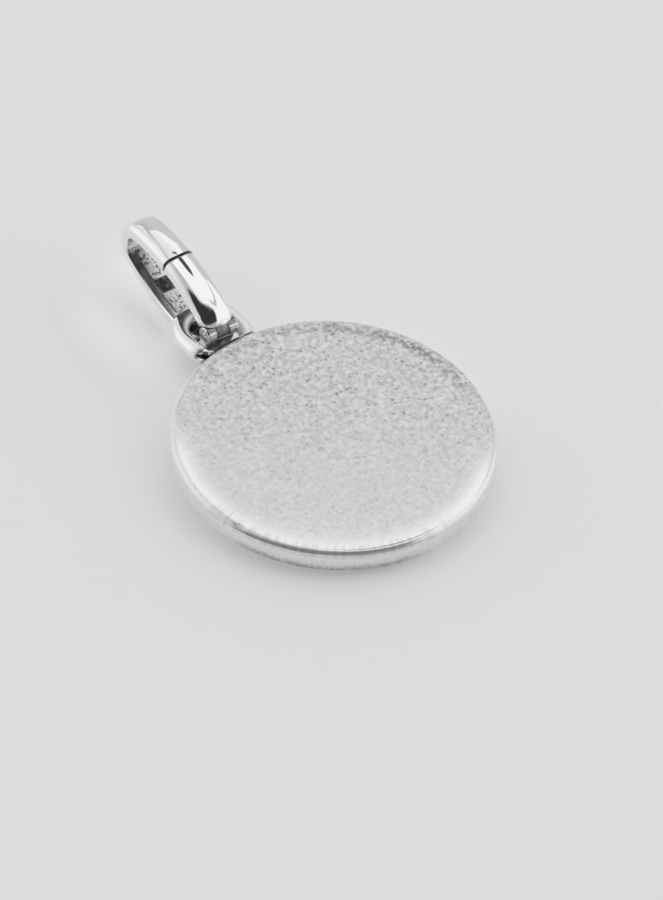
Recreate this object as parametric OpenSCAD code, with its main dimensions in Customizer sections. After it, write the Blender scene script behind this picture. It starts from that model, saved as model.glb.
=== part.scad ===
// Medal pendant, as it lies on a table: a thick plain medal with a soldered loop,
// and a long oval bail that stands on edge through the loop. The bail opens at a hinged gate.
// Millimetres, +Z up, the floor at z = 0. +Y points from the medal to the bail.
// The medal leans on its front rim, with its loop resting on the bail's lower rail.

/* [Medal] */
// Diameter of the medal
medal_d = 20; // [18:0.5:24]
// Thickness of the medal
medal_t = 1.65; // [1.5:0.05:2.2]
// Radius of the rolled edge, on both faces
edge_r = 0.4; // [0.2:0.05:0.45]

/* [Loop] */
// Thickness of the loop's round wire
wire_d = 1.1; // [0.9:0.05:1.1]
// Width of the loop, outside
loop_w = 4.8; // [4.8:0.05:5.3]
// How far the loop stands out past the medal's edge
loop_reach = 4.4; // [4.3:0.05:4.7]
// Length of the straight stretch on each side of the loop
loop_straight = 0.8; // [0.75:0.05:1]
// How far the solder between the loop's feet stands out past the medal's edge
solder_out = 0.45; // [0.35:0.05:0.5]

/* [Bail] */
// Distance from the middle of the bail to the centre of each round end
end_out = 3.24; // [3.12:0.12:3.48]
// Width of the bail's band
band_w = 2.2; // [1.8:0.05:2.2]
// Thickness of the bail's band
band_t = 1; // [1:0.05:1.1]
// Radius of the bail's two round ends, outside
end_r = 1.92; // [1.84:0.02:2]
// Radius of the band's domed outer face
crown_r = 3.2; // [2.6:0.1:6]
// Radius of the band's outer edges
shoulder_r = 0.55; // [0.4:0.05:0.55]
// Radius of the band's inner edges
inner_edge_r = 0.16; // [0.1:0.02:0.2]

/* [How it lies] */
// Distance from the medal's axis to the middle of the bail
bail_out = 15.7; // [15.6:0.05:15.8]
// How far the bail stands to the side of the loop's middle
bail_side = 0.3; // [0:0.05:0.3]
// Turn of the bail, seen from above
bail_turn = -4; // [-4.5:0.5:0]
// How far the bail's near end dips as it rocks on its curved lower rail
bail_dip = 12; // [10:0.5:13]
// Gap between the loop and the rail that it rests on
rest_gap = 0.08; // [0.07:0.01:0.2]

/* [Hinge] */
// Place of the gate's free end, from the middle of the bail
split_at = 0.4; // [-0.5:0.1:1]
// Gap at the gate's free end
split_gap = 0.14; // [0.1:0.02:0.2]
// Depth of the bevels that break the edges of that gap
split_bevel = 0.08; // [0.05:0.01:0.15]
// Height of the hinge on the near end, as an angle above its middle
hinge_at = 25; // [15:1:30]
// Diameter of the hinge's barrel
barrel_d = 1.2; // [1.15:0.05:1.3]
// Diameter of the hinge's pin
pin_d = 0.5; // [0.4:0.05:0.6]
// Width of the gate's knuckle, between the two lugs
knuckle_w = 0.8; // [0.6:0.05:1]
// Gap between the moving faces of the hinge
hinge_gap = 0.06; // [0.04:0.01:0.08]

/* [Hidden] */
$fn = 96;

// The pin turns in the gate's bore, and only just clears the lugs that it is riveted in
pin_play = 0.03;
rivet_play = 0.01;
// The pin's ends stand a little proud of the lugs, with a bevel
pin_proud = 0.03;
pin_bevel = 0.06;
barrel_edge_r = 0.1;
// Past everything, for the boxes that cut
past = 20;

medal_r = medal_d / 2;
wire_r = wire_d / 2;
barrel_r = barrel_d / 2;
pin_r = pin_d / 2;

// The bail's outline is a four-centre oval: an arc on each side and one on each end. A side
// arc meets an end arc on the line through their centres. From the bail's middle, the two
// centres are 12 parts along and 35 parts across, so that 37 parts lie between them, and
// all the centres fall on round numbers
side_z = end_out * 35 / 12;
side_r = end_r + end_out * 37 / 12;
bail_half_h = side_r - side_z;

// The band's section: a shoulder circle touches the crown's circle from inside
shoulder_across = band_w / 2 - shoulder_r;
shoulder_angle = asin(shoulder_across / (crown_r - shoulder_r));
shoulder_out = (crown_r - shoulder_r) * cos(shoulder_angle) - crown_r;
crown_half = crown_r * sin(shoulder_angle);

// The bail stands on its lower rail, which is curved about a point far above it
bail_z = side_r - side_z * cos(bail_dip);
rail_centre_y = bail_out - side_z * sin(bail_dip);

// The loop's outer limb lies in the hollow of that rail
limb_y = medal_r + loop_reach - wire_r;
limb_lift = side_r - band_t - wire_r - rest_gap;
limb_z = side_r - sqrt(limb_lift * limb_lift - pow(limb_y - rail_centre_y, 2));

// Lean of the medal: its front rim is on the floor and its loop at the limb's height
lean_long = limb_y + medal_r - edge_r;
lean_short = medal_t / 2 - edge_r;
medal_lean = asin((limb_z - edge_r) / norm([lean_long, lean_short]))
    - atan2(lean_short, lean_long);
medal_z = edge_r + (medal_r - edge_r) * sin(medal_lean) + lean_short * cos(medal_lean);

// The loop's middle line is an oval too, half sunk in the medal's edge
loop_r = (loop_w - wire_d) / 2;
loop_far_y = limb_y - loop_r;
loop_near_y = loop_far_y - loop_straight;

// The solder is a round fillet, a little thinner than the wire, from foot to foot of the loop
solder_share = 0.9;
solder_r = wire_r * solder_share;
solder_y = medal_r + solder_out - solder_r;
solder_half = sqrt(loop_r * loop_r - pow(loop_near_y - solder_y, 2));

// The hinge's axis, on the middle of the band at the near end
hinge_out = end_r - band_t / 2;
hinge_y = -end_out - hinge_out * cos(hinge_at);
hinge_z = hinge_out * sin(hinge_at);

// The origin is under the middle of the whole pendant
front_y = -(medal_r - edge_r) * cos(medal_lean) - lean_short * sin(medal_lean) - edge_r;
back_y = bail_out + (end_out * cos(bail_dip) + end_r) * cos(bail_turn);
middle_y = (front_y + back_y) / 2;

// Places a shape made about the medal's own middle
module place_medal() {
    translate([0, -middle_y, medal_z]) rotate([medal_lean, 0, 0]) children();
}

// Places a shape made about the bail's own middle, with its length along Y
module place_bail() {
    translate([bail_side, bail_out - middle_y, bail_z]) rotate([bail_dip, 0, bail_turn])
        children();
}

// Stands what is turned about Z on edge: Z goes to X, and angles count from Y to Z
module on_edge() {
    rotate([90, 0, 90]) children();
}

// A plain thick disc with rolled edges
module medal_blank() {
    rotate_extrude() union() {
        translate([0, -medal_t / 2]) square([medal_r - edge_r, medal_t]);
        translate([0, edge_r - medal_t / 2]) square([medal_r, medal_t - 2 * edge_r]);
        for (side = [-1, 1])
            translate([medal_r - edge_r, side * lean_short]) circle(edge_r);
    }
}

// An oval of round wire, laid flat
module loop() {
    for (end = [0, 1])
        translate([0, end == 1 ? loop_far_y : loop_near_y, 0])
            rotate([0, 0, end == 1 ? 0 : 180])
                rotate_extrude(angle = 180) translate([loop_r, 0]) circle(wire_r);
    for (side = [-1, 1])
        translate([side * loop_r, loop_near_y, 0])
            rotate([-90, 0, 0]) cylinder(h = loop_straight, r = wire_r);
}

// The solder between the loop's feet
module solder() {
    translate([-solder_half, solder_y, 0]) rotate([0, 90, 0])
        cylinder(h = 2 * solder_half, r = solder_r);
}

// The medal and its soldered loop are one piece of metal
module medal() {
    color("silver") place_medal() union() {
        medal_blank();
        loop();
        solder();
    }
}

// Section of the band with its outer face at out: domed outside, flat inside. Only the
// outer half of a shoulder's circle is used, because the whole one is deeper than the band
module band_section(out) {
    translate([out, 0]) union() {
        intersection() {
            translate([-crown_r, 0]) circle(crown_r);
            translate([-band_t / 2, -crown_half]) square([band_t, 2 * crown_half]);
        }
        for (side = [-1, 1]) {
            translate([shoulder_out, side * shoulder_across]) intersection() {
                circle(shoulder_r);
                translate([0, -shoulder_r]) square(2 * shoulder_r);
            }
            translate([inner_edge_r - band_t, side * (band_w / 2 - inner_edge_r)])
                circle(inner_edge_r);
        }
        translate([inner_edge_r - band_t, -band_w / 2])
            square([band_t + shoulder_out - inner_edge_r, band_w]);
        translate([-band_t, inner_edge_r - band_w / 2])
            square([band_t / 2, band_w - 2 * inner_edge_r]);
    }
}

// The band turned all the way round a centre, less what is outside an outline
module band_arc(centre, out, outline) {
    on_edge() intersection() {
        translate(centre) rotate_extrude() band_section(out);
        linear_extrude(height = 2 * band_w, center = true) polygon(outline);
    }
}

// The whole band, closed. The four outlines share the lines through the arcs' centres
module band() {
    for (end = [-1, 1]) {
        band_arc([end * end_out, 0], end_r, [[end * end_out, 0],
            [2 * end * end_out, side_z], [5 * end * end_out, side_z],
            [5 * end * end_out, -side_z], [2 * end * end_out, -side_z]]);
        band_arc([0, -end * side_z], side_r, [[0, -end * side_z],
            [2 * end_out, end * side_z], [-2 * end_out, end * side_z]]);
    }
}

// What is above the hinge on the near side, up to a place along the upper rail
module gate_zone(up_to) {
    translate([-past / 2, -end_out, 0]) cube([past, end_out + up_to, past]);
    translate([0, -end_out, 0]) rotate([-hinge_at, 0, 0])
        translate([-past / 2, -past, 0]) cube([past, past, past]);
}

// A round bar along the hinge's axis, from one side to another
module hinge_bar(r, from, to) {
    translate([from, hinge_y, hinge_z]) rotate([0, 90, 0]) cylinder(h = to - from, r = r);
}

// A lug of the barrel, rounded on its outer end
module lug() {
    inner = knuckle_w / 2 + hinge_gap;
    flat = band_w / 2 - inner - barrel_edge_r;
    translate([inner, hinge_y, hinge_z]) rotate([0, 90, 0]) rotate_extrude() union() {
        square([barrel_r, flat]);
        square([barrel_r - barrel_edge_r, flat + barrel_edge_r]);
        translate([barrel_r - barrel_edge_r, flat]) circle(barrel_edge_r);
    }
}

// A square bar on its corner, which bevels both edges of the gap where it runs across them
module bevel_bar(long) {
    rotate([45, 0, 0]) cube([long, split_bevel * 2, split_bevel * 2], center = true);
}

// The bevels round the outside of the gap: over the crown, and down both sides
module split_bevels() {
    translate([0, split_at, bail_half_h]) bevel_bar(2 * band_w);
    for (side = [-1, 1])
        translate([side * band_w / 2, split_at, bail_half_h - band_t / 2])
            rotate([0, 90, 0]) bevel_bar(2 * band_t);
}

// The fixed part of the bail: the lower rail, the far end, half of the upper rail, two lugs
module bail_hook() {
    color("gainsboro") place_bail() difference() {
        union() {
            difference() {
                band();
                gate_zone(split_at + split_gap / 2);
                split_bevels();
                hinge_bar(barrel_r + hinge_gap, -knuckle_w / 2 - hinge_gap,
                    knuckle_w / 2 + hinge_gap);
            }
            lug();
            mirror([1, 0, 0]) lug();
        }
        hinge_bar(pin_r + rivet_play, -past, past);
    }
}

// The gate: the near half of the upper rail, down to its knuckle between the lugs
module bail_gate() {
    color("white") place_bail() difference() {
        union() {
            difference() {
                intersection() {
                    band();
                    gate_zone(split_at - split_gap / 2);
                }
                split_bevels();
                for (side = [-1, 1])
                    hinge_bar(barrel_r + hinge_gap, side < 0 ? -past : knuckle_w / 2,
                        side < 0 ? -knuckle_w / 2 : past);
            }
            hinge_bar(barrel_r, -knuckle_w / 2, knuckle_w / 2);
        }
        hinge_bar(pin_r + pin_play, -past, past);
    }
}

// The riveted pin of the hinge
module hinge_pin() {
    half = band_w / 2 + pin_proud;
    color("dimgray") place_bail() union() {
        hinge_bar(pin_r, -half + pin_bevel, half - pin_bevel);
        for (side = [0, 180])
            translate([0, hinge_y, hinge_z]) rotate([0, 90 + side, 0])
                translate([0, 0, half - pin_bevel])
                    cylinder(h = pin_bevel, r1 = pin_r, r2 = pin_r - pin_bevel);
    }
}

medal();
bail_hook();
bail_gate();
hinge_pin();
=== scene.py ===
# %% [markdown]
# # A silver medal on an opening bail
# A thick, plain medal lies on a white table, with its loop resting inside a long oval bail.
# Everything solid here was made as exact metalwork, at its real size, and this lesson never
# moves it. What is left is to choose the view, to put up the light, and to give every surface
# its finish.

# %% The metalwork comes in
import math

import bmesh
import bpy
from mathutils import Euler, Matrix, Vector


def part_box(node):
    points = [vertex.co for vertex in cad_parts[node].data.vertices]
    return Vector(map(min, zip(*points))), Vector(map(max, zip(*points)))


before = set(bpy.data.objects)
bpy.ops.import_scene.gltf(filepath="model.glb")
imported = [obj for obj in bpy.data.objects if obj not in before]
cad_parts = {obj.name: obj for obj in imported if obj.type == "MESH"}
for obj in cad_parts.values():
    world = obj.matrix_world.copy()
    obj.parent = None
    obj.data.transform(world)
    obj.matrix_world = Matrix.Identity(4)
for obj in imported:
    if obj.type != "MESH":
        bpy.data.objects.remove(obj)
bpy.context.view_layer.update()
mm = 0.001

# %% [markdown]
# ## Where the medal lies
# A finish needs to know where its piece is. The medal leans a little, so its frost, its rim
# and its side wall are easiest to describe in the medal's own directions. They could be
# typed in, but the metalwork already holds them: the medal's two flat faces give its
# direction, its middle and its thickness. Each face is round apart from its far side, where
# the loop is soldered on, so its middle lies half its width behind its nearest point.


# %% The flat faces of a piece
def flat_face(node, way, least_tilt=0.5, digits=3):
    """The middle and the normal of the largest flat face that looks up (1) or down (-1)."""
    groups = {}
    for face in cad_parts[node].data.polygons:
        if face.normal.z * way > least_tilt:
            key = tuple(round(part, digits) for part in face.normal)
            groups.setdefault(key, []).append(face)
    faces = max(groups.values(), key=lambda group: sum(face.area for face in group))
    normal = faces[0].normal.copy()
    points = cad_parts[node].data.vertices
    rim = [points[corner].co for face in faces for corner in face.vertices]
    low_x, high_x = min(point.x for point in rim), max(point.x for point in rim)
    nearest = min(rim, key=lambda point: point.y)
    along = way * normal.cross(Vector((1, 0, 0)))
    middle = nearest + along * (high_x - low_x) / 2
    middle.x = (low_x + high_x) / 2
    return middle, normal


front_face, medal_up = flat_face("medal", 1)
back_face, medal_down = flat_face("medal", -1)
print("The two faces look along", [round(part, 3) for part in medal_up],
      "and", [round(part, 3) for part in medal_down])

# %% [markdown]
# The rest follows from the two faces and the medal's box. Its radius is how far the box
# reaches to the side, its thickness is the distance between the faces, and its lean is the
# tilt of the upper one.

# %% The medal's size and lean
medal_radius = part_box("medal")[1].x
medal_thick = (front_face - back_face).dot(medal_up)
medal_middle = (front_face + back_face) / 2
medal_lean = math.atan2(-medal_up.y, medal_up.z)
medal_axes = Euler((medal_lean, 0, 0)).to_matrix()
print("The medal is", round(medal_thick / mm, 2), "mm thick and leans",
      round(math.degrees(medal_lean), 2), "degrees")

# %% [markdown]
# The bail stands on edge through the loop. Its middle is the middle of the box round its two
# halves. How it is turned and how far its near end dips are the two angles it was made with.

# %% Where the bail stands
bail_turn, bail_dip = math.radians(-4), math.radians(12)
bail_boxes = [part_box("bail_hook"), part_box("bail_gate")]
bail_low = Vector([min(low[axis] for low, high in bail_boxes) for axis in range(3)])
bail_high = Vector([max(high[axis] for low, high in bail_boxes) for axis in range(3)])
bail_middle = (bail_low + bail_high) / 2
bail_axes = Euler((bail_dip, 0, bail_turn)).to_matrix()
pin_middle = sum(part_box("hinge_pin"), Vector()) / 2
pin_place = bail_axes.transposed() @ (pin_middle - bail_middle)
print("The bail's middle is at", [round(part / mm, 2) for part in bail_middle], "mm")

# %% [markdown]
# ## The camera
# The picture was taken from well away with a long lens, looking down at about 44 degrees,
# with the camera turned a little in the hand. A long lens keeps the two ends of the pendant
# at nearly one scale. The point of the table under the medal's middle is the anchor: it has
# to land on one known spot of the picture, and the rest follows.

# %% Where the camera stands
picture_wide, picture_high = 663, 900
anchor = Vector((0, medal_middle.y, 0))
anchor_across, anchor_down = 332.5, 456.4
view_down, view_heading, view_roll = (math.radians(angle) for angle in (44.4, 41.7, 3.0))
camera_away = 304.9 * mm
focal_pixels = 5000


def camera_directions():
    """Forward, right and up of the camera, as unit vectors."""
    forward = Vector((math.sin(view_heading) * math.cos(view_down),
                      math.cos(view_heading) * math.cos(view_down), -math.sin(view_down)))
    level = Vector((math.cos(view_heading), -math.sin(view_heading), 0))
    right = math.cos(view_roll) * level + math.sin(view_roll) * level.cross(forward)
    return forward, right, right.cross(forward)


forward, right, up = camera_directions()
print("The camera looks along", [round(part, 3) for part in forward])

# %% [markdown]
# The lens's length is given in pixels of the picture, so it is turned to millimetres of the
# sensor. The camera is then put back from the anchor, along the ray that passes through the
# anchor's pixel.

# %% The camera
sensor, clip_near, clip_far = 36, 10 * mm, 10
aim = (forward + right * (anchor_across - picture_wide / 2) / focal_pixels
       + up * (picture_high / 2 - anchor_down) / focal_pixels)
lens = bpy.data.cameras.new("camera")
lens.sensor_width = sensor
lens.lens = sensor * focal_pixels / picture_high
lens.clip_start, lens.clip_end = clip_near, clip_far
camera = bpy.data.objects.new("camera", lens)
camera.matrix_world = (Matrix.Translation(anchor - aim * camera_away)
                       @ Matrix((right, up, -forward)).transposed().to_4x4())
bpy.context.scene.collection.objects.link(camera)
bpy.context.scene.camera = camera
print("The camera stands", round(camera_away / mm), "mm away, its lens is", lens.lens, "mm")

# %% [markdown]
# ## Sums written as sums
# A finish in Blender is a net of nodes, and drawing such a net in code is hard to read. Here
# a small class stands for whatever flows out of a node. Adding or multiplying two of them
# adds the node that does it, so that a mask can be written the way one would say it. Only
# numbers go through these sums, because a Math node would turn a colour grey.


# %% What flows out of a node
class Flow:
    """What comes out of one socket of a node. Its sums add Math nodes to the same net."""

    def __init__(self, net, socket):
        self.net, self.socket = net, socket

    def math(self, operation, *terms):
        sockets = dict(zip(("Value", "Value_001", "Value_002"), terms))
        return self.net.node("ShaderNodeMath", {"operation": operation}, sockets)

    def __add__(self, other):
        return self.math("ADD", self, other)

    def __sub__(self, other):
        return self.math("SUBTRACT", self, other)

    def __rsub__(self, other):
        return self.math("SUBTRACT", other, self)

    def __mul__(self, other):
        return self.math("MULTIPLY", self, other)

    def __truediv__(self, other):
        return self.math("DIVIDE", self, other)

    def __rtruediv__(self, other):
        return self.math("DIVIDE", other, self)

    def __neg__(self):
        return self.math("MULTIPLY", self, -1.0)

    def __abs__(self):
        return self.math("ABSOLUTE", self)

    def root(self):
        return self.math("SQRT", self)

    def arccos(self):
        return self.math("ARCCOSINE", self)

    def turn_from(self, ahead):
        """The angle, in radians, of a place that lies this far sideways and so far ahead."""
        return self.math("ARCTAN2", self, ahead)

    def most(self, other):
        return self.math("MAXIMUM", self, other)

    def least(self, other):
        return self.math("MINIMUM", self, other)

    __radd__ = __add__
    __rmul__ = __mul__


print("A Flow can", ", ".join(name for name in vars(Flow) if not name.startswith("_")))

# %% [markdown]
# The net itself needs one way to add any other node: its type, then its settings, then what
# goes into its sockets. Sockets are named by their identifiers, because some nodes have
# several sockets with one label. A few helpers then say what finishes are made of: a soft
# step from 0 to 1, a blend of two numbers, and a grey.


# %% A net of nodes
class Net:
    """The nodes of one finish, or of the light."""

    def __init__(self, owner):
        owner.use_nodes = True
        self.tree = owner.node_tree
        self.tree.nodes.clear()

    def node(self, kind, settings=None, sockets=None, out=None):
        """Adds a node. Settings come first, because some of them change the sockets."""
        made = self.tree.nodes.new(kind)
        for name, value in (settings or {}).items():
            setattr(made, name, value)
        by_name = {socket.identifier: socket for socket in made.inputs}
        for name, value in (sockets or {}).items():
            if isinstance(value, Flow):
                self.tree.links.new(value.socket, by_name[name])
            else:
                by_name[name].default_value = value
        outputs = {socket.identifier: socket for socket in made.outputs if socket.enabled}
        return Flow(self, outputs[out] if out else next(iter(outputs.values()), None))

    def step(self, value, start, end):
        """A soft step of a value: 0 at start, 1 at end."""
        return self.node("ShaderNodeMapRange", {"interpolation_type": "SMOOTHSTEP"},
                         {"Value": value, "From Min": start, "From Max": end}, "Result")

    def blend(self, share, first, second):
        """A number that goes from first to second as share goes from 0 to 1."""
        return self.node("ShaderNodeMix", {"data_type": "FLOAT"},
                         {"Factor_Float": share, "A_Float": first, "B_Float": second})

    def grey(self, value):
        """A colour with the same value three times."""
        return self.node("ShaderNodeCombineColor", {},
                         {"Red": value, "Green": value, "Blue": value}, "Color")


print("A Net can", ", ".join(name for name in vars(Net) if not name.startswith("_")))

# %% [markdown]
# A piece's own directions are three unit vectors. The place of a point along each of them is
# a dot product, from the piece's middle. The same place feeds the grains, so that a grain
# stays where it is on the piece.


# %% Places and grains
class Surface(Net):
    """The finish of a metal piece, with its own middle and directions."""

    def __init__(self, name, middle=Vector(), axes=Matrix.Identity(3)):
        self.material = bpy.data.materials.new(name)
        super().__init__(self.material)
        self.axes = axes
        row_frame = self.node("ShaderNodeTexCoord", {}, {}, "Object")
        self.place = self.node("ShaderNodeVectorMath", {"operation": "SUBTRACT"},
                               {"Vector": row_frame, "Vector_001": middle})
        self.along = self.parts_of(self.place)

    def parts_of(self, vector):
        """The parts of a vector along the piece's own three directions."""
        return [self.node("ShaderNodeVectorMath", {"operation": "DOT_PRODUCT"},
                          {"Vector": vector, "Vector_001": self.axes.col[axis]}, "Value")
                for axis in range(3)]

    def facing(self):
        """The parts of the surface's own normal along the piece's three directions."""
        return self.parts_of(self.node("ShaderNodeTexCoord", {}, {}, "Normal"))

    def noise(self, size, detail=2.0, rough=0.5, where=None):
        """A cloudy grain round 0.5, whose lumps are about as far apart as size."""
        return self.node("ShaderNodeTexNoise", {"noise_dimensions": "3D"},
                         {"Vector": where or self.place, "Scale": 1 / size, "Detail": detail,
                          "Roughness": rough}, "Fac")

    def relief(self, height, depth, under=None):
        """The normal of a surface whose height goes from 0 to 1 over a depth."""
        sockets = {"Height": height, "Distance": depth}
        if under:
            sockets["Normal"] = under
        return self.node("ShaderNodeBump", {}, sockets)

    def finish(self, shine, rough, normal, metallic=1.0, glow=0.0):
        """Closes the net: how much light the metal sends back, how rough it is, its normal."""
        metal = self.node("ShaderNodeBsdfPrincipled", {}, {
            "Base Color": self.grey(shine), "Metallic": metallic, "Roughness": rough,
            "Normal": normal, "Emission Color": (1, 1, 1, 1), "Emission Strength": glow}, "BSDF")
        self.node("ShaderNodeOutputMaterial", {}, {"Surface": metal})
        return self.material


print("A Surface can", ", ".join(name for name in vars(Surface) if not name.startswith("_")))

# %% [markdown]
# Many marks are round, oval or slanted. The length of a vector gives how far a point is from
# a place, and the same length in turned directions, over an oval's half sizes, is 1 all along
# the oval's edge. Most marks take a share of the light away, so that has a helper too.


# %% Ovals and losses
average = 0.5


def length(*parts):
    """How long a vector is, from its parts."""
    return sum(part * part for part in parts).root()


def turned(across, along, angle):
    """The same place in directions that are turned by an angle."""
    return (across * math.cos(angle) + along * math.sin(angle),
            along * math.cos(angle) - across * math.sin(angle))


def from_oval(across, along, half):
    """0 in the middle of an oval and 1 on its edge."""
    return length(across / half.x, along / half.y)


def dulled(shine, losses):
    """Takes light away from a shine: a list of masks, each with the share that is lost."""
    for mask, loss in losses:
        shine = shine * (1 - mask * loss)
    return shine


print("A noise lies round", average)

# %% [markdown]
# ## The light
# Polished silver has no look of its own: it shows what stands round it. The reflections in
# the bail tell what that was: white cloth all round and above, an open and dark side toward
# the camera, and a small dark thing high up on the right. The cloth could be built from
# sheets and lamps, but the world shader says the same with less: for each direction, how
# bright the cloth is there.
#
# Directions are laid out as on a sky map, looking straight up: the middle is overhead, the
# rim at 90 is the horizon, x goes to the right and y to the back.

# %% The sky map
world = bpy.context.scene.world or bpy.data.worlds.new("light")
bpy.context.scene.world = world
light = Net(world)
direction = light.node("ShaderNodeTexCoord", {}, {}, "Generated")
side, back, height = (light.node("ShaderNodeSeparateXYZ", {}, {"Vector": direction}, axis)
                      for axis in "XYZ")
from_top = height.arccos() * math.degrees(1)
nearly_nothing = 0.0001
level = length(side, back).most(nearly_nothing)
sky_x, sky_y = from_top * side / level, from_top * back / level


def from_spot(spot):
    """How far a direction is from a spot of the map."""
    return length(sky_x - spot.x, sky_y - spot.y)


print("The sky map has", len(light.tree.nodes), "nodes")

# %% [markdown]
# The open side is where two cloths leave a gap toward the camera. The left cloth's lower edge
# is soft. It runs further back the further left it is, less steeply past a bend. The right
# cloth's edge is crisp and almost level. On the map all of them are straight lines, so each is
# given by its y where x is 0, and by its slope.

# %% The two cloths' lower edges
inner_edge = {"middle_y": -8.5, "slope": -0.34}
outer_edge = {"middle_y": -5.1, "slope": -0.24}
right_edge = {"middle_y": -14.7, "slope": -0.18}
left_soft, right_soft = 3, 1.3
bend_start, bend_end = 4, 12


def straight_edge(middle_y, slope):
    """The y of a straight edge, for every x of the map."""
    return middle_y + slope * sky_x


left_edge_y = straight_edge(**inner_edge).least(straight_edge(**outer_edge))
bend = light.step(sky_x, bend_start, bend_end)
below_edge = light.blend(bend, left_edge_y, straight_edge(**right_edge)) - sky_y
under_cloth = light.step(below_edge / light.blend(bend, left_soft, right_soft), -1, 1)
bend_at = ((inner_edge["middle_y"] - outer_edge["middle_y"])
           / (outer_edge["slope"] - inner_edge["slope"]))
print("The left edge bends where x is", round(bend_at))

# %% [markdown]
# The gap ends on the right at an upright edge that leans a little, and at the bottom at a
# round edge, where the table begins.

# %% The open side
gap_right_x, gap_right_y, gap_slant, gap_soft = 18, -44, 0.1, 2
left_of_edge = gap_right_x + gap_slant * (sky_y - gap_right_y) - sky_x
table_edge, table_edge_radius, table_edge_soft = Vector((2.6, 39.7)), 102.6, 4
inside_edge = table_edge_radius - from_spot(table_edge)
above_table = light.step(inside_edge, -table_edge_soft, table_edge_soft)
open_side = under_cloth * light.step(left_of_edge, -gap_soft, gap_soft) * above_table
print("The open side ends", gap_right_x, "degrees to the right")

# %% [markdown]
# The small dark thing hangs up on the right, such as a lamp that is off. It is a leaning oval.

# %% The small dark thing
dark_middle, dark_half, dark_lean = Vector((23.8, 12.6)), Vector((4.2, 10.4)), math.radians(-6)
dark_outside, dark_inside = 1.15, 0.85
dark_x, dark_y = turned(sky_x - dark_middle.x, sky_y - dark_middle.y, dark_lean)
dark_thing = light.step(from_oval(dark_x, dark_y, dark_half), dark_outside, dark_inside)
print("The dark thing is", 2 * dark_half.y, "degrees tall")

# %% [markdown]
# The left cloth is dimmest along its lower edge and brightens toward the back. Its middle part
# stays dim for longer than its outer part, and then brightens faster.

# %% The left cloth
outer_dim, outer_start, outer_end = 0.52, -4, 36
middle_dim, middle_start, middle_end = 0.48, 14, 34
left_bright = 0.95
outer_x, middle_x = -34, -22
middle_part = light.step(sky_x, outer_x, middle_x)
brightening = light.step(sky_y - left_edge_y, light.blend(middle_part, outer_start, middle_start),
                         light.blend(middle_part, outer_end, middle_end))
left_cloth = light.blend(brightening, light.blend(middle_part, outer_dim, middle_dim), left_bright)
print("The left cloth goes from", middle_dim, "to", left_bright)

# %% [markdown]
# The right cloth is the brightest. It begins at a thin seam, part of a large circle, which
# runs from the gap's corner up over the top, and in front it reaches a little further left.
# Far out on the right and low at the back a greyer sheet begins, along a rounded corner.

# %% The right cloth and the grey sheet
cloth_bright, cloth_grey = 0.97, 0.60
seam_middle, seam_radius, seam_fade = Vector((87, -0.8)), 80.6, (-0.5, 4)
past_seam = seam_radius - from_spot(seam_middle)
reach_right, reach_front = (10, 18), (30, 10)
in_front = light.step(sky_x, *reach_right) * light.step(sky_y, *reach_front)
cloth = light.blend(light.step(past_seam, *seam_fade).most(in_front), left_cloth, cloth_bright)
corner, corner_radius, corner_soft = Vector((22.5, 25)), 17.6, 1
past_corner = length((sky_x - corner.x).most(0), (sky_y - corner.y).most(0)) - corner_radius
sheet_left, sheet_front = (20, 22), (-3, 3)
grey_sheet = light.step(sky_x, *sheet_left) * light.step(sky_y, *sheet_front)
grey_sheet = grey_sheet * light.step(past_corner, -corner_soft, corner_soft)
cloth = light.blend(grey_sheet, cloth, cloth_grey)
print("The cloth goes from", cloth_grey, "on the right to", cloth_bright, "at its brightest")

# %% [markdown]
# Three thin lines are darker: the seam itself, the grey sheet's edge further back, and a round
# hem at the bright cloth's lower corner on the right. Each is a soft band round a line, cut
# off where the line ends.

# %% The seam, the sheet's edge and the hem
seam_half, seam_dark, seam_front, seam_back = 1.2, 0.3, (-12, -8), (48, 44)
seam = light.step(abs(past_seam), seam_half, 0)
seam = seam * light.step(sky_y, *seam_front) * light.step(sky_y, *seam_back)
edge_x, edge_half, edge_dark, edge_front, edge_back = 23, 2, 0.21, (43, 48), (70, 60)
sheet_edge = light.step(abs(sky_x - edge_x), edge_half, 0)
sheet_edge = sheet_edge * light.step(sky_y, *edge_front) * light.step(sky_y, *edge_back)
hem_middle, hem_radius, hem_dark = Vector((28.2, -4.2)), 11.8, 0.54
hem_width, hem_back, hem_left = (1.4, 0.3), (0, -5), (21, 25)
hem = light.step(abs(from_spot(hem_middle) - hem_radius), *hem_width)
hem = hem * light.step(sky_y, *hem_back) * light.step(sky_x, *hem_left)
lines = (seam_dark * seam).most(edge_dark * sheet_edge).most(hem_dark * hem)
print("The seam is", 2 * seam_half, "degrees wide")

# %% [markdown]
# A broad fold at the back takes a little light away, and in front the light dies away where
# the table's own front edge would show. The dark thing and the open side lie over all that.

# %% The whole of the cloth
fold_x, fold_width, fold_front, fold_dark = 4, (32, 6), (14, 26), 0.22
broad_fold = light.step(abs(sky_x - fold_x), *fold_width) * light.step(sky_y, *fold_front)
cloth = dulled(cloth, [(lines, 1), (broad_fold, fold_dark)])
front_shine, lamp_shine, room_shine = 0.14, 0.07, 0.035
front_y, front_x = (-66, -80), (42, 36)
low_front = light.step(sky_y, *front_y) * light.step(sky_x, *front_x)
cloth = light.blend(low_front, cloth, front_shine)
around = light.blend(dark_thing, cloth, lamp_shine)
around = light.blend(open_side, around, room_shine)
print("The open side sends", room_shine, "of what white cloth would")

# %% [markdown]
# The camera itself should never see the world: past the edge of the table it gets the grey
# of the table, so that the picture has no seam.

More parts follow.
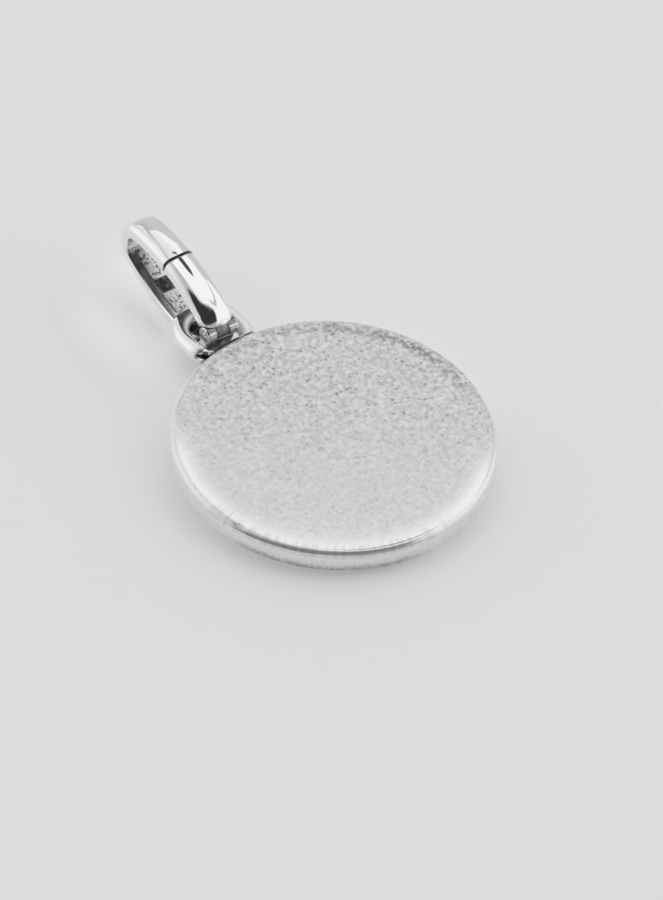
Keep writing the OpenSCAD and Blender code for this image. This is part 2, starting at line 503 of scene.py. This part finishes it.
# %% The world
table_grey = 0.72
seen = light.node("ShaderNodeLightPath", {}, {}, "Is Camera Ray")
world_grey = light.grey(light.blend(seen, around, table_grey))
glow = light.node("ShaderNodeBackground", {}, {"Color": world_grey, "Strength": 1.0})
light.node("ShaderNodeOutputWorld", {}, {"Surface": glow})
bpy.context.scene.view_settings.view_transform = "Standard"
print("The light has", len(light.tree.nodes), "nodes")

# %% [markdown]
# ## The table
# The table is a sheet of milky plastic, lit a little from below. That is why the shadows in
# such a picture never go black. A lamp under the sheet could do it, but a faint glow of the
# sheet itself is the same thing. It is a round sheet, so that no corner shows from any side.

# %% The table
table_radius, table_sides = 1.5, 96
sheet = bmesh.new()
bmesh.ops.create_circle(sheet, cap_ends=True, segments=table_sides, radius=table_radius)
table_mesh = bpy.data.meshes.new("table")
sheet.to_mesh(table_mesh)
sheet.free()
table = bpy.data.objects.new("table", table_mesh)
bpy.context.scene.collection.objects.link(table)
print("The table is", 2 * table_radius, "m wide")

# %% [markdown]
# The polished bail throws light back on the table at its left. The picture's rays hardly find
# that light, so a soft, lighter patch of the sheet stands in for it.

# %% The milky sheet
sheet_white, sheet_mottle, sheet_rough, sheet_glow = 0.715, 0.01, 0.6, 0.225
mottle_size, grain_size, grain_depth = 2 * mm, 0.5 * mm, 0.002 * mm
thrown_middle, thrown_half = Vector((-2.0, 10.5)) * mm, Vector((5.0, 8.0)) * mm
thrown_edge, thrown_core, thrown_white = 1.0, 0.2, 0.22
milky = Surface("milky_sheet")
sheet_x, sheet_y = milky.along[:2]
thrown = from_oval(sheet_x - thrown_middle.x, sheet_y - thrown_middle.y, thrown_half)
thrown = milky.step(thrown, thrown_edge, thrown_core)
sheet_light = sheet_white + sheet_mottle * milky.noise(mottle_size) + thrown_white * thrown
sheet_grain = milky.relief(milky.noise(grain_size), grain_depth)
table_mesh.materials.append(
    milky.finish(sheet_light, sheet_rough, sheet_grain, metallic=0.0, glow=sheet_glow))
print("The sheet sends back", round(sheet_white + average * sheet_mottle, 2), "of the light")

# %% [markdown]
# The shadow of the medal falls toward the camera, so more light comes from behind than the
# cloth alone sends. A wide soft lamp behind the pendant does that. Its own mirror image would
# be a hard spot in the silver that the real one doesn't have, so that image is switched off.

# %% The soft lamp behind
soft_lamp = bpy.data.lights.new("soft_lamp", "SUN")
soft_lamp.energy, soft_lamp.angle = 0.5, math.radians(105)
lamp = bpy.data.objects.new("soft_lamp", soft_lamp)
lamp_height = math.radians(48)
lamp.rotation_euler = (math.pi / 2 - lamp_height, 0, math.pi - view_heading)
lamp.visible_glossy = False
bpy.context.scene.collection.objects.link(lamp)
print("The lamp stands", round(math.degrees(lamp_height)), "degrees high")

# %% [markdown]
# ## Polished silver
# The bail, its gate and the pin were cast, filed and polished on a wheel. They could have a
# material for each state of the silver, but the states fade into each other. So there is one
# material with masks, and each mask says where it lies in the bail's own directions: across,
# along and up.
#
# A surface that looks toward the bail's middle is an inside one, so the normal tells the
# inside from the outside. A mask that lies between two places comes up often enough to be a
# helper.

# %% The bail's own places
bail = Surface("polished_silver", bail_middle, bail_axes)
b_across, b_along, b_up = bail.along
n_across, n_along, n_up = bail.facing()
nearest, facing_inward, rail_height = 0.1 * mm, (0.15, 0.4), (-0.6 * mm, -0.75 * mm)
inward = -(n_along * b_along + n_up * b_up) / length(b_along, b_up).most(nearest)
inside = bail.step(inward, *facing_inward)
lower_rail = inside * bail.step(b_up, *rail_height)


def between(flow, start, end, soft=0.05 * mm):
    """A mask that is 1 from start to end, with soft ends."""
    return bail.step(flow, start - soft, start + soft) * bail.step(flow, end + soft, end - soft)


print("The bail has", len(bail.tree.nodes), "nodes for its places")

# %% [markdown]
# On the flat inside of the lower rail are two small matt patches, pitted by a punch. The pits
# could be cut as tiny hollows, but they are far finer than anything else here, so a grain with
# a little relief does it.

# %% The two pitted patches
patch_places = [(-1.0 * mm, 0.55 * mm), (1.85 * mm, 3.9 * mm)]
patch_left, patch_right, patch_soft = -0.5 * mm, 0.9 * mm, 0.1 * mm
near_patch, far_patch = (between(b_along, start, end, patch_soft) for start, end in patch_places)
patches = near_patch.most(far_patch) * between(b_across, patch_left, patch_right, patch_soft)
patches = patches * lower_rail
print("The patches are", [round((end - start) / mm, 2) for start, end in patch_places], "mm long")

# %% [markdown]
# Painted shade darkens the inside, where little light reaches: the ceiling under the upper rail,
# a hollow in the near round end, and a strip between the two patches, which mirrors the ceiling.

# %% Painted shade inside the bail
ceiling_height, ceiling_far = (-1.0 * mm, -0.6 * mm), (4.3 * mm, 3.6 * mm)
ceiling = inside * bail.step(b_up, *ceiling_height) * bail.step(b_along, *ceiling_far)
hollow_middle, hollow_half = Vector((-0.35, -3.0)) * mm, Vector((0.45, 0.6)) * mm
hollow_fade, hollow_height = (1.1, 0.9), (0, -0.5 * mm)
hollow = from_oval(b_across - hollow_middle.x, b_along - hollow_middle.y, hollow_half)
hollow = bail.step(hollow, *hollow_fade) * inside * bail.step(b_up, *hollow_height)
strip_start, strip_end, strip_soft = 0.65 * mm, 1.75 * mm, 0.08 * mm
strip_left = (-0.65 * mm, -0.45 * mm)
strip = between(b_along, strip_start, strip_end, strip_soft) * lower_rail
strip = strip * bail.step(b_across, *strip_left)
print("The dark strip is", round((strip_end - strip_start) / mm, 2), "mm long")

# %% [markdown]
# The near end gets painted shade as well: below the hinge, where the bail looks toward the
# medal, and on the two faces of the gap where the gate ends.

# %% The gap and the underside of the hinge
near_end, below_pin, facing_near = (-4.4 * mm, -4.7 * mm), (0.4 * mm, 0.25 * mm), (-0.3, -0.6)
under_hinge = bail.step(b_along, *near_end) * bail.step(n_along, *facing_near)
under_hinge = under_hinge * bail.step(b_up, *below_pin)
gap_at, gap_half, gap_soft, gap_height = 0.4 * mm, 0.1 * mm, 0.02 * mm, (0, 0.5 * mm)
gap = between(b_along, gap_at - gap_half, gap_at + gap_half, gap_soft)
gap = gap * bail.step(b_up, *gap_height)
print("The gap's dark faces lie", round(gap_at / mm, 2), "mm past the bail's middle")

# %% [markdown]
# The hinge's barrel is the gate's knuckle between the hook's two lugs. The knuckle gets painted
# shade, apart from a thin line toward the medal that is left bright, where a highlight shows.

# %% The knuckle
barrel_radius, barrel_past, knuckle_half, lug_soft = 0.6 * mm, 0.02 * mm, 0.4 * mm, 0.15 * mm
barrel_soft, hinge_reach = 0.06 * mm, (1.0 * mm, 0.7 * mm)
from_pin = length(b_along - pin_place.y, b_up - pin_place.z)
barrel_edge = barrel_radius + barrel_past
barrel = bail.step(from_pin, barrel_edge + barrel_soft, barrel_edge)
knuckle = barrel * bail.step(abs(b_across), knuckle_half + lug_soft, knuckle_half)
highlight_low, highlight_high, highlight_soft, facing_medal = 0.42 * mm, 0.56 * mm, 0.03 * mm, (-0.8, -0.95)
highlight_line = between(b_up, highlight_low, highlight_high, highlight_soft) * bail.step(n_along, *facing_medal)
hinge_zone = bail.step(from_pin, *hinge_reach)
print("The hinge's pin is at", [round(part / mm, 2) for part in pin_place], "mm in the bail")

# %% [markdown]
# The lugs are bright, with grime on their tops and at their feet. The normal tells these from
# their fronts, and from their round ends, which are clean.

# %% The lugs
lugs = barrel * bail.step(abs(b_across), knuckle_half, knuckle_half + lug_soft)
facing_up, facing_level, not_aside = (0.72, 0.88), (0.3, 0.1), (0.6, 0.4)
lug_top = bail.step(n_up, *facing_up)
lug_foot = bail.step(n_up, *facing_level) * bail.step(abs(n_across), *not_aside)
grimy = lugs * lug_top.most(lug_foot)
print("Each lug begins", round(knuckle_half / mm, 2), "mm from the middle of the barrel")

# %% [markdown]
# Two marks show on the hook: a small dark nick beside the gap, and a thin darker line along its
# left shoulder. They only take light away, without changing the shape. The nick is a turned oval,
# and the line is a thin band round a slanted line.

# %% A nick and a shoulder line
nick_middle, nick_half = Vector((-0.14, 0.77)) * mm, Vector((0.16, 0.09)) * mm
nick_turn, nick_fade, on_top = math.radians(-41.35), (1.15, 0.8), (2.1 * mm, 2.2 * mm)
nick = turned(b_across - nick_middle.x, b_along - nick_middle.y, nick_turn)
nick = bail.step(from_oval(*nick, nick_half), *nick_fade) * bail.step(b_up, *on_top)
shoulder_line_left, shoulder_line_slope, shoulder_line_width = -0.757 * mm, 0.104, (0.07 * mm, 0.02 * mm)
shoulder_line_start, shoulder_line_end, shoulder_line_soft = 0.6 * mm, 3.6 * mm, 0.15 * mm
shoulder_height = (1.5 * mm, 1.8 * mm)
shoulder_line = abs(b_across - shoulder_line_left - shoulder_line_slope * b_along)
shoulder_line = bail.step(shoulder_line, *shoulder_line_width) * bail.step(b_up, *shoulder_height)
shoulder_line = shoulder_line * between(b_along, shoulder_line_start, shoulder_line_end, shoulder_line_soft)
print("The nick is", round(2 * nick_half.x / mm, 2), "mm long")

# %% [markdown]
# What shows is a mirror that is not quite flat. Broad, shallow waves from the wheel bend the
# reflections a little, fine wear takes the edge off them, stains gather near the hinge, and a
# mottle breaks up the painted shade. Each is a noise of its own size.

# %% The bail's grains
wave = bail.noise(size=1.1 * mm, detail=1.0)
wear = bail.noise(size=0.25 * mm, detail=4.0, rough=0.6)
pitting = bail.noise(size=0.2 * mm, detail=2.0, rough=0.6)
shade_mottle_range, stain_range = (0.42, 0.7), (0.45, 0.6)
shade_mottle = bail.step(bail.noise(size=0.45 * mm, detail=3.0, rough=0.6), *shade_mottle_range)
stains = bail.step(bail.noise(size=0.5 * mm), *stain_range) * hinge_zone
print("The bail has", len(bail.tree.nodes), "nodes with its masks and grains")

# %% [markdown]
# A metal's base colour is the share of light that it sends back, and clean silver sends back
# nearly all. The marks on the surface each take a share of that away. The pits and the places of
# painted shade are different: they have a shine of their own, which is blended in where they lie.

# %% How much light the bail sends back
clean_shine, wear_share = 0.93, 0.05
bail_shine = clean_shine + wear_share * (wear - average)
stain_loss, grime_loss, shoulder_line_loss, nick_loss = 0.25, 0.7, 0.25, 0.75
bail_shine = dulled(bail_shine, [(stains, stain_loss), (grimy, grime_loss),
                                 (shoulder_line, shoulder_line_loss), (nick, nick_loss)])
pit_shine, pit_share, pit_range = 0.15, 0.85, (0.34, 0.5)
pitted = pit_shine + pit_share * bail.step(pitting, *pit_range)
# Painted shade: the dark places (inside, under the hinge, in the gap, on the knuckle) get a dark
# shine of their own.
dark_shine, knuckle_share, shade_mottle_share = 0.06, 0.16, 0.24
darkened = dark_shine + knuckle_share * knuckle + shade_mottle_share * shade_mottle
dark = ceiling.most(hollow).most(strip).most(under_hinge).most(gap).most(knuckle * (1 - highlight_line))
bail_shine = bail.blend(patches, bail_shine, pitted)
bail_shine = bail.blend(dark, bail_shine, darkened)
print("The clean silver sends back", clean_shine, "and the dark places", dark_shine)

# %% [markdown]
# Roughness blurs the mirror. It grows a little with wear, near the hinge and on the inside,
# where a wheel hardly reaches, and the patches and the places of painted shade are matt. The
# waves and the pits go in as relief, because they are only hundredths of a millimetre deep, or
# less.

# %% How rough the bail is
polished_rough, worn_rough, hinge_rough, inside_rough, matt_rough = 0.05, 0.06, 0.12, 0.09, 0.4
wear_range = (0.5, 0.75)
bail_rough = polished_rough + worn_rough * bail.step(wear, *wear_range)
bail_rough = bail_rough + hinge_rough * hinge_zone + inside_rough * inside
bail_rough = bail.blend(patches.most(dark), bail_rough, matt_rough)
wave_depth, pit_depth = 0.003 * mm, 0.03 * mm
bail_relief = bail.relief(wave, wave_depth)
bail_relief = bail.relief(pitting * patches, pit_depth, bail_relief)
print("The wheel's waves are", round(wave_depth / mm, 3), "mm deep")

# %% [markdown]
# The hook, the gate and the pin are three solids of the same silver, so they share the finish.

# %% The bail, the gate and the pin get their finish
bail_silver = bail.finish(bail_shine, bail_rough, bail_relief)
for name in ("bail_hook", "bail_gate", "hinge_pin"):
    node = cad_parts[name]
    node.data.materials.clear()
    node.data.materials.append(bail_silver)
    print(name, "is polished")

# %% [markdown]
# ## The medal
# Both faces were blasted with grit, which leaves a fine, pitted frost. The side wall and the
# rolled edge only got a quick polish, and the loop is round wire, polished as the bail is. All
# that is soldered to one piece, so again there is one material with masks.
#
# The medal's wear, its painted light and its painted shade have a near and a far side, so
# besides its own directions it gets the direction of its nearest point, and the one to the right
# of that.

# %% The medal's own places
medal_finish = Surface("frosted_silver", medal_middle, medal_axes)
step = medal_finish.step
m_across, m_along, m_up = medal_finish.along
from_axis = length(m_across, m_along)
near_way = Vector((-math.sin(view_heading), -math.cos(view_heading)))
near = (m_across * near_way.x + m_along * near_way.y) / medal_radius
right_way = (m_along * near_way.x - m_across * near_way.y) / medal_radius
flat_start, flat_end = medal_thick / 2 - 0.06 * mm, medal_thick / 2 - 0.01 * mm
disc_end = medal_radius + 0.04 * mm
flat = step(abs(m_up), flat_start, flat_end)
disc = step(from_axis, disc_end, medal_radius)
edge = disc * (1 - flat)


def rim_step(start, end):
    """A soft step across the rim: 0 at one distance inside the rim, and 1 at another."""
    return step(from_axis, medal_radius - start, medal_radius - end)


print("The medal's near side looks along", [round(part, 2) for part in near_way])

# %% [markdown]
# Years of rubbing have worn the frost away toward the rim on the near half, so the rim is
# bright there and fades into the face. On the far half the frost reaches the edge, and a band a
# little inside it is darker, mostly on the right.

# %% The worn rim and the darker far rim
worn_side, darker_rim_side, darker_rim_right, least_darkening = (-0.25, 0.3), (-0.3, -0.7), (-0.5, 0.3), 0.45
worn_rim = rim_step(start=2.4 * mm, end=0.35 * mm) * step(near, *worn_side)
worn_rim = worn_rim * worn_rim
frost = disc * (1 - worn_rim) * flat
rim_band = rim_step(start=1.5 * mm, end=1.0 * mm) * rim_step(start=0.3 * mm, end=0.75 * mm)
darkening_share = least_darkening + (1 - least_darkening) * step(right_way, *darker_rim_right)
darker_rim = rim_band * step(near, *darker_rim_side) * darkening_share
print("The left of the far rim has", least_darkening, "of the dirt of the right")

# %% [markdown]
# The upper edge was rolled. Below it the side wall is smudged, more so toward its foot, and a
# line of painted contact shade darkens the foot on the near side, where the medal rests on the
# table.

# %% The rolled edge and the side wall
rolled_height = (0.36 * mm, 0.44 * mm)
rolled = edge * step(m_up, *rolled_height)
smudge_range, smudge_height = (0.42, 0.7), (0.45 * mm, -0.45 * mm)
smudges = step(medal_finish.noise(size=0.5 * mm, detail=4.0, rough=0.65), *smudge_range)
smudges = smudges * step(m_up, *smudge_height)
# Painted shade: the wall's foot on the near side is darkened in colour where it meets the table.
contact_shade_height, contact_shade_side = (-0.05 * mm, -0.5 * mm), (0.78, 0.9)
contact_shade = edge * step(m_up, *contact_shade_height) * step(near, *contact_shade_side)
print("The rolled edge begins", round(rolled_height[0] / mm, 2), "mm above the medal's middle")

# %% [markdown]
# Short ticks run across the near rim, where it was filed. A noise that only changes along the
# rim makes them: its place has one part, the length of the way round the rim.

# %% The ticks across the rim
tick_size, tick_range = 0.5 * mm, (0.44, 0.56)
tick_height, tick_side = (0.3 * mm, 0.45 * mm), (0.55, 0.75)
round_rim = m_across.turn_from(m_along) * medal_radius
rim_place = medal_finish.node("ShaderNodeCombineXYZ", {}, {"X": round_rim})
ticks = step(medal_finish.noise(tick_size, where=rim_place), *tick_range)
ticks = ticks * rim_step(start=0.9 * mm, end=0.5 * mm)
ticks = ticks * step(m_up, *tick_height) * step(near, *tick_side)
print("The ticks across the near rim are about", round(tick_size / mm, 2), "mm apart")

# %% [markdown]
# The solder web in the joint between the loop and the disc is painted nearly black as painted
# shade, for the shade in the small hole between the loop, the bail and the disc. Dark solder also
# ran up the loop's left foot in spots.

# %% The solder spots and the joint's painted shade
# Painted shade: the joint's dark colour stands in for the shade in the hole between loop, bail and
# disc.
joint_out, joint_far = (0.22 * mm, 0.1 * mm), (9.45 * mm, 9.7 * mm)
joint_height = (0.72 * mm, 0.6 * mm)
past_edge = from_axis - medal_radius
joint = step(past_edge, *joint_out) * step(m_along, *joint_far)
joint = joint * step(m_up, *joint_height) * (1 - disc * flat)
foot_left, foot_out, spot_range = (-0.6 * mm, -1.2 * mm), (1.1 * mm, 0.7 * mm), (0.46, 0.56)
spots = step(medal_finish.noise(size=0.5 * mm, detail=3.0, rough=0.6), *spot_range)
left_foot = step(m_across, *foot_left) * step(past_edge, *foot_out) * (1 - disc)
solder_and_joint_shade = joint.most(left_foot * spots)
print("The joint is dark to", round(joint_out[0] / mm, 2), "mm past the disc's edge")

# %% [markdown]
# The loop's right leg and its inside are less polished. The inside is where the loop's surface
# looks toward the loop's own middle.

# %% The loop
leg_right, loop_middle, full_inside = (0.8 * mm, 1.4 * mm), 11.6 * mm, 1 * mm
right_leg = step(m_across, *leg_right) * (1 - disc)
out_across, out_along = medal_finish.facing()[:2]
loop_inside = -(out_across * m_across + out_along * (m_along - loop_middle)) / full_inside
print("The loop's middle lies", round(loop_middle / mm, 2), "mm from the disc's")

# %% [markdown]
# The frost has a fine grit, larger lumps, and dark pits that stand in clumps. A noise has no
# sharp spots, so the pits come from the distance to scattered points. The grain is coarse on
# the far half and worn smoother on the near half.

# %% The frost's grains
grit = medal_finish.noise(size=0.13 * mm, detail=2.0, rough=0.6)
lumps = medal_finish.noise(size=0.33 * mm)
clouds = medal_finish.noise(size=2.5 * mm)
most_coarse, least_coarse, smoothed = 1.0, 0.42, (-0.5, 0.45)
coarse = medal_finish.blend(step(near, *smoothed), most_coarse, least_coarse)
pit_spacing = 0.36 * mm
from_pit = medal_finish.node(
    "ShaderNodeTexVoronoi", {"voronoi_dimensions": "3D", "feature": "F1"},
    {"Vector": medal_finish.place, "Scale": 1 / pit_spacing}, "Distance")
pit_fade, clump_range, ragged, least_pit, clump_share = (0.4, 0.08), (0.38, 0.62), 0.6, 0.35, 0.9
clumps = step(medal_finish.noise(size=0.7 * mm), *clump_range)
pits = step(from_pit + ragged * (grit - average), *pit_fade) * (least_pit + clump_share * clumps)
print("The pits are about", round(pit_spacing / mm, 2), "mm apart")

# %% [markdown]
# The grains are added up with their own weights, as deviations from the frost's brightness,
# so that they make it uneven and hardly darker. Toward the near side and the near rim the frost
# is painted a little lighter, as painted light, and the darker far rim band takes its share away
# at the end.

# %% How much light the frost sends back
frost_bright, grit_share, lump_share, pit_dark = 0.825, 0.42, 0.75, 0.32
uneven = grit_share * (grit - average) + lump_share * (lumps - average) + pit_dark * pits
# Painted light: the frost is painted lighter toward the near side and toward the near rim.
near_painted_light, near_rim_painted_light, cloud_share = 0.05, 0.06, 0.05
toward_near, at_near_rim, blotch_range = (-0.4, 0.6), (0.55, 0.95), (0.4, 0.6)
frost_shine = frost_bright - coarse * uneven + near_painted_light * step(near, *toward_near)
frost_shine = frost_shine + near_rim_painted_light * step(near, *at_near_rim) + cloud_share * (clouds - average)
blotches, rim_band_loss, rim_band_blotch_loss = step(lumps, *blotch_range), 0.12, 0.28
frost_shine = dulled(frost_shine, [(darker_rim, rim_band_loss + rim_band_blotch_loss * blotches)])
print("The frost sends back", frost_bright, "of the light, give or take its grain")

# %% [markdown]
# The wall loses light under its smudges and ticks, and under the painted contact shade at its
# foot. The loop is as bright as the bail, and the solder spots and the joint's painted shade are
# nearly black. The frost then lies over all that where its mask is.

# %% How much light the wall and the loop send back
wall_bright, loop_bright, leg_gain, solder_and_joint_shade_shine = 0.95, 0.93, 0.04, 0.12
smudge_loss, tick_loss, contact_shade_loss, contact_shade_blotch_loss = 0.14, 0.13, 0.18, 0.27
wall_shine = dulled(wall_bright, [(smudges * (1 - flat), smudge_loss), (ticks, tick_loss),
                                  (contact_shade, contact_shade_loss + contact_shade_blotch_loss * blotches)])
bright_shine = medal_finish.blend(disc, loop_bright + leg_gain * right_leg, wall_shine)
bright_shine = medal_finish.blend(solder_and_joint_shade, bright_shine, solder_and_joint_shade_shine)
medal_shine = medal_finish.blend(frost, bright_shine, frost_shine)
print("The wall sends back", wall_bright, "and the solder", solder_and_joint_shade_shine)

# %% [markdown]
# The frost is rough and the loop is nearly a mirror. The rolled edge is finely scuffed and
# looks partly white, so it counts as only partly metal. Only the frost has a relief, because
# everything else is smooth to the touch.

# %% How rough the medal is
wall_rough, rolled_rough, frost_rough, rolled_soft = 0.3, 0.2, 0.45, 0.42
wire_rough, leg_rough, eye_rough, eye_range = 0.07, 0.3, 0.3, (0.2, 0.8)
loop_rough = wire_rough + leg_rough * right_leg + eye_rough * step(loop_inside, *eye_range)
disc_rough = medal_finish.blend(flat.most(rolled), wall_rough, rolled_rough)
medal_rough = medal_finish.blend(disc, loop_rough, disc_rough)
medal_rough = medal_finish.blend(frost, medal_rough, frost_rough)
medal_metal = 1 - rolled_soft * rolled
grit_depth = 0.015 * mm
medal_relief = medal_finish.relief(grit * frost * coarse, grit_depth)
print("The frost is", round(grit_depth / mm, 3), "mm deep")

# %% [markdown]
# The finish goes on the solid in place of the plain one that it came with.

# %% The medal gets its finish
medal_silver = medal_finish.finish(medal_shine, medal_rough, medal_relief, metallic=medal_metal)
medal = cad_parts["medal"]
medal.data.materials.clear()
medal.data.materials.append(medal_silver)
print("The medal's finish has", len(medal_finish.tree.nodes), "nodes")

# %% [markdown]
# ## Closing
